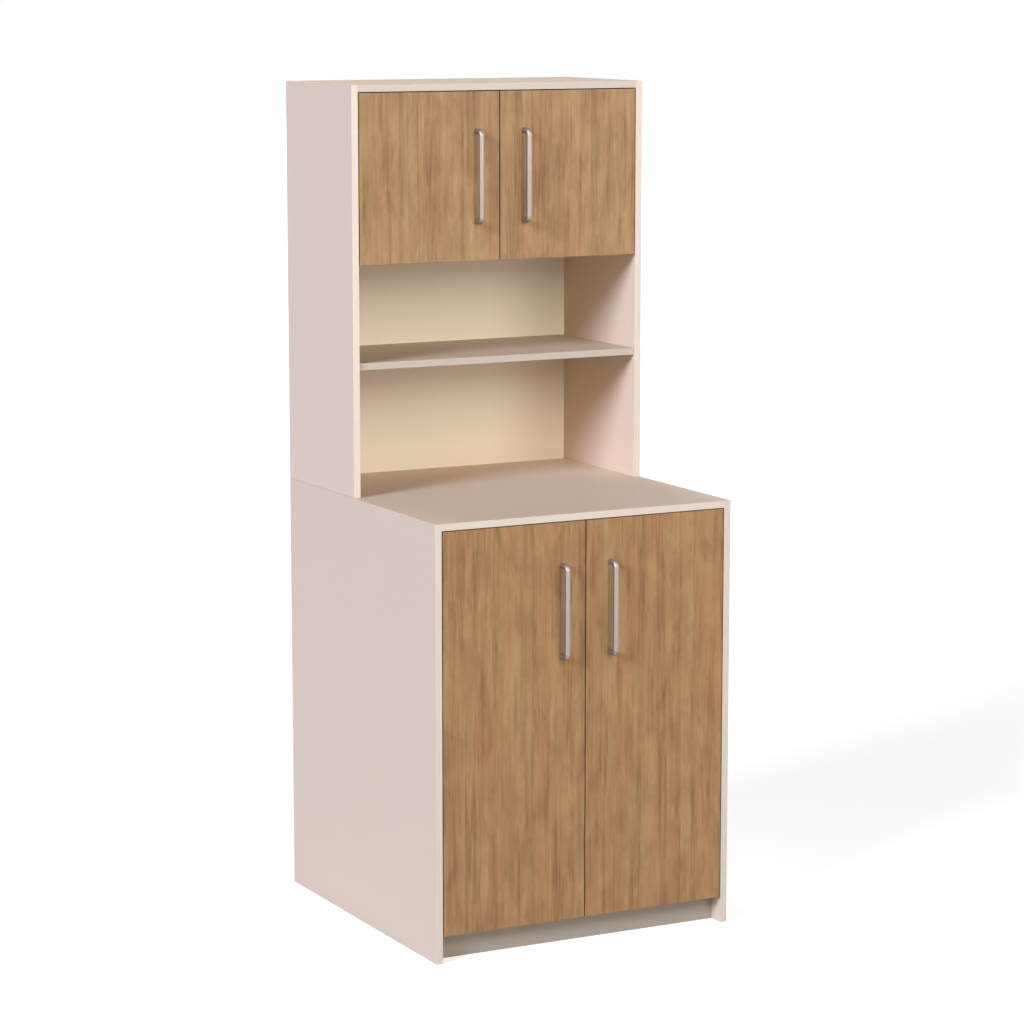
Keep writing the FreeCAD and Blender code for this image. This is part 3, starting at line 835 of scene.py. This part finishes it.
def moved(geometry, offset):
    node = add(screw_tree, "GeometryNodeTransform")
    screw_tree.links.new(geometry, node.inputs["Geometry"])
    screw_tree.links.new(offset, node.inputs["Translation"])
    return node.outputs["Geometry"]


size = start.outputs
print("inputs", [socket.name for socket in size if socket.name])

# %% Head with a cross recess
head = add(screw_tree, "GeometryNodeMeshCone")
head.inputs["Vertices"].default_value = HEAD_SIDES
join(screw_tree, start, "Head Radius", head, "Radius Top")
join(screw_tree, start, "Neck Radius", head, "Radius Bottom")
join(screw_tree, start, "Head Height", head, "Depth")
head_low = moved(head.outputs["Mesh"], vector(z=number("MULTIPLY", size["Head Height"], -1.0)))

cuts = []
for turned in (False, True):
    bar = add(screw_tree, "GeometryNodeMeshCube")
    long_side = number("MULTIPLY", size["Recess Reach"], 2.0)
    tall_side = number("MULTIPLY", size["Recess Depth"], 2.0)
    sides = (size["Recess Width"], long_side) if turned else (long_side, size["Recess Width"])
    screw_tree.links.new(vector(*sides, tall_side), bar.inputs["Size"])
    cuts.append(bar.outputs["Mesh"])
recess = add(screw_tree, "GeometryNodeMeshBoolean", operation="DIFFERENCE", solver="EXACT")
screw_tree.links.new(head_low, recess.inputs["Mesh 1"])
for piece in cuts:
    screw_tree.links.new(piece, recess.inputs["Mesh 2"])
print("bars in the recess", len(cuts))

# %% Shank
shank = add(screw_tree, "GeometryNodeMeshCylinder")
shank.inputs["Vertices"].default_value = SHANK_SIDES
shank_length = number("SUBTRACT", size["Length"], size["Head Height"])
join(screw_tree, start, "Shank Radius", shank, "Radius")
screw_tree.links.new(shank_length, shank.inputs["Depth"])
shank_middle = number("MULTIPLY", number("ADD", size["Length"], size["Head Height"]), -0.5)
shank_low = moved(shank.outputs["Mesh"], vector(z=shank_middle))
whole = add(screw_tree, "GeometryNodeJoinGeometry")
screw_tree.links.new(recess.outputs["Mesh"], whole.inputs["Geometry"])
screw_tree.links.new(shank_low, whole.inputs["Geometry"])
print("shank sides", SHANK_SIDES)

# %% One screw on each point
outward = add(screw_tree, "GeometryNodeInputNamedAttribute", data_type="FLOAT_VECTOR")
outward.inputs["Name"].default_value = "outward"
aim = add(screw_tree, "FunctionNodeAlignRotationToVector", axis="Z")
join(screw_tree, outward, "Attribute", aim, "Vector")
chance = add(screw_tree, "FunctionNodeRandomValue", data_type="FLOAT")
chance.inputs[3].default_value = QUARTER_TURN
join(screw_tree, start, "Seed", chance, "Seed")
spin = add(screw_tree, "FunctionNodeEulerToRotation")
screw_tree.links.new(vector(z=chance.outputs[1]), spin.inputs["Euler"])
turn = add(screw_tree, "FunctionNodeRotateRotation", rotation_space="LOCAL")
join(screw_tree, aim, "Rotation", turn, "Rotation")
join(screw_tree, spin, "Rotation", turn, "Rotate By")
place = add(screw_tree, "GeometryNodeInstanceOnPoints")
join(screw_tree, start, "Geometry", place, "Points")
join(screw_tree, whole, "Geometry", place, "Instance")
join(screw_tree, turn, "Rotation", place, "Rotation")
finish_tree(screw_tree, place.outputs["Instances"], start, end)
print("screw tree", len(screw_tree.nodes), "nodes")

# %% [markdown]
# Five kinds of screws hold the hinges, the handles and the two tiers. A table gives each kind its
# sizes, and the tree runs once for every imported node, so that a door's screws stay with that door.

# %% Screws
SIZE_NAMES = ("Head Radius", "Head Height", "Neck Radius", "Shank Radius", "Length",
              "Recess Reach", "Recess Width", "Recess Depth")
SCREW_KINDS = {  # the axis the screw lies on, then its sizes in metres in the order above
    "hinge_cup_screws": ("Y", 0.0034, 0.0010, 0.00175, 0.00175, 0.0100, 0.0021, 0.0008, 0.0008),
    "handle_screws": ("Y", 0.0038, 0.0022, 0.0038, 0.0020, 0.0252, 0.0022, 0.0009, 0.0015),
    "hinge_plate_screws": ("X", 0.0042, 0.0025, 0.0025, 0.0025, 0.0110, 0.0026, 0.0010, 0.0018),
    "hinge_arm_screws": ("X", 0.0042, 0.0018, 0.0042, 0.0022, 0.0098, 0.0027, 0.0011, 0.0013),
    "joining_screws": ("Y", 0.0032, 0.0020, 0.00175, 0.00175, 0.0200, 0.0020, 0.0008, 0.0014)}
ZINC_SCREWS = ("handle_screws", "joining_screws")
for seed, (kind, (way, *sizes)) in enumerate(SCREW_KINDS.items()):
    for node in [n for n in nodes if n.startswith(kind)]:
        values = dict(zip(SIZE_NAMES, sizes))
        values["Seed"] = seed
        values["Finish"] = ZINC_PLATE if kind in ZINC_SCREWS else BRIGHT_NICKEL
        screws = grown("cross_head_" + node, head_points(node, way), screw_tree, values)
        stands_for(screws, node)
        print(screws.name, len(screws.data.polygons), "faces")

# %% [markdown]
# A cam lock shows its round zinc face on the underside of a board, with the cross that a
# screwdriver turns. The same tree makes it: a head nearly as deep as the bore, and a short shank.

# %% Cam locks
def face_points(node):
    """One point at the open, lower face of each lock, looking down."""
    places = [Vector(((low.x + high.x) / 2, (low.y + high.y) / 2, low.z))
              for low, high in solids_of(node)]
    mesh = bpy.data.meshes.new("points_" + node)
    mesh.from_pydata(places, [], [])
    outward = mesh.attributes.new("outward", "FLOAT_VECTOR", "POINT")
    outward.data.foreach_set("vector", [c for _ in places for c in (0.0, 0.0, -1.0)])
    return mesh


locks = grown("cross_slot_cam_locks", face_points("cam_locks"), screw_tree, {
    "Head Radius": 0.0075, "Head Height": 0.0118, "Neck Radius": 0.0075, "Shank Radius": 0.004,
    "Length": 0.012, "Recess Reach": 0.0042, "Recess Width": 0.0015, "Recess Depth": 0.0025,
    "Seed": 11, "Finish": CAST_ZINC})
stands_for(locks, "cam_locks")
print(locks.name, len(locks.data.polygons), "faces")

# %% [markdown]
# A product photograph on white keeps its plain colours, so the view transform is Standard: others
# would grey the whites.

# %% Colour management
bpy.context.scene.view_settings.view_transform = "Standard"
